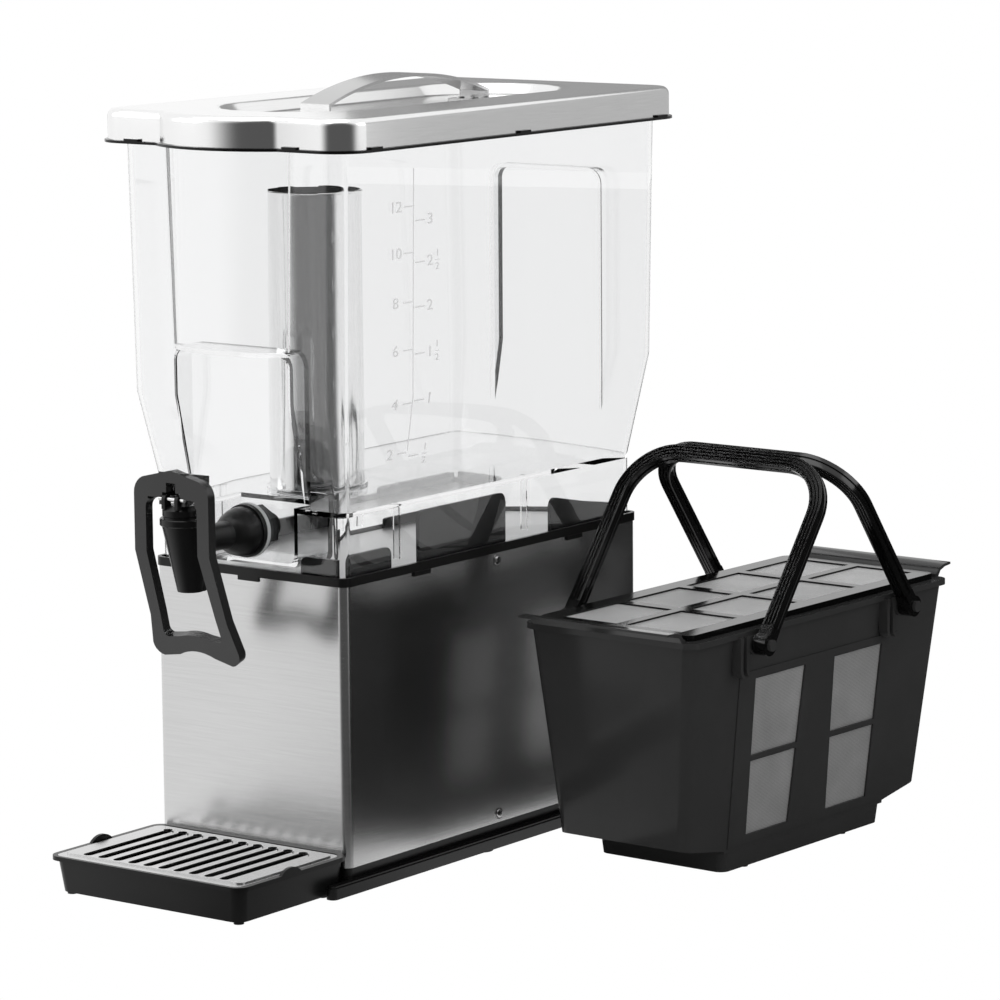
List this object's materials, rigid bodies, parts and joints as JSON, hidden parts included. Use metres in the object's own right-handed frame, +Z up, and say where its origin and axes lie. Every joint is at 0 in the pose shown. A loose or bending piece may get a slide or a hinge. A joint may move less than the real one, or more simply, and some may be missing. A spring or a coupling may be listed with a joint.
{
  "type": "iced tea maker",
  "caption": "Tall narrow iced tea dispenser: clear reservoir on a steel stand, lift-off steel lid, loop lever faucet, drip tray and a lift-out mesh brew basket beside it.",
  "frame": {"origin": "on the table, under the middle of the steel stand", "axes": "+X across the front towards the brew basket, +Y from the faucet to the back, +Z up"},
  "size_m": [0.4148, 0.5662, 0.5362],
  "materials": {
    "steel": "brushed",
    "steel_fine": "polished",
    "black_satin": "satin",
    "black_gloss": "gloss",
    "clear_plastic": "clear",
    "white_plastic": "translucent",
    "silicone": "soft",
    "rubber": "matte",
    "mesh": "woven wire"
  },
  "bodies": {
    "stand": {"plinth": "black_satin", "base_feet": "rubber", "base_shell": "steel", "shell_screws": "steel_fine", "top_frame": "black_satin", "base_deck": "steel"},
    "tank": {"reservoir": "clear_plastic", "faucet_body": "black_satin", "shank_washer": "white_plastic", "shank_nut": "black_satin", "bonnet": "black_satin", "lever_pin": "steel_fine"},
    "tube": {"ice_tube": "steel"},
    "lid": {"lid_cap": "steel", "lid_liner": "black_gloss", "lid_handle": "steel", "handle_rivets": "steel_fine"},
    "lever": {"lever": "black_satin"},
    "stem": {"valve_stem": "steel_fine", "seat_cup": "silicone", "valve_spring": "steel_fine"},
    "tray": {"drip_tray": "black_satin"},
    "grate": {"drip_grate": "steel"},
    "basket": {"basket_tub": "black_gloss", "side_screens": "mesh"},
    "basket_cover": {"basket_lid": "black_gloss", "lid_screens": "mesh"},
    "bail_a": {"bail_front": "black_gloss"},
    "bail_b": {"bail_rear": "black_gloss"}
  },
  "joints": [
    {"name": "reservoir_lift", "type": "slide", "parent": "stand", "child": "tank", "axis": [0, 0, 1], "range_m": [0, 0.06]},
    {"name": "lid_lift", "type": "slide", "parent": "tank", "child": "lid", "axis": [0, 0, 1], "range_m": [0, 0.2]},
    {"name": "tube_lift", "type": "slide", "parent": "tank", "child": "tube", "axis": [0, 0, 1], "range_m": [0, 0.03]},
    {"name": "lever_push", "type": "hinge", "parent": "tank", "child": "lever", "pos_m": [0, -0.246, 0.2705], "axis": [1, 0, 0], "range_deg": [0, 18], "stiffness_Nm_per_rad": 0.3, "springref_deg": -17.19},
    {"name": "stem_rise", "type": "slide", "parent": "tank", "child": "stem", "axis": [0, 0, 1], "range_m": [0, 0.00284], "deforming": ["valve_spring"]},
    {"name": "tray_pull", "type": "slide", "parent": "stand", "child": "tray", "axis": [0, -1, 0], "range_m": [0, 0.15]},
    {"name": "grate_lift", "type": "slide", "parent": "tray", "child": "grate", "axis": [0, 0, 1], "range_m": [0, 0.04]},
    {"name": "basket_lift", "type": "slide", "parent": "stand", "child": "basket", "axis": [0, 0, 1], "range_m": [0, 0.15]},
    {"name": "basket_lid_lift", "type": "slide", "parent": "basket", "child": "basket_cover", "axis": [0, 0, 1], "range_m": [0, 0.04]},
    {"name": "bail_front_swing", "type": "hinge", "parent": "basket", "child": "bail_a", "pos_m": [0.21107, 0.01903, 0.163], "axis": [0.9997, -0.0262, 0], "range_deg": [0, 120]},
    {"name": "bail_rear_swing", "type": "hinge", "parent": "basket", "child": "bail_b", "pos_m": [0.21573, 0.19697, 0.163], "axis": [-0.9997, 0.0262, 0], "range_deg": [0, 120]}
  ],
  "couplings": [
    {"joint": "stem_rise", "follows": "lever_push", "m_per_rad": 0.009}
  ]
}
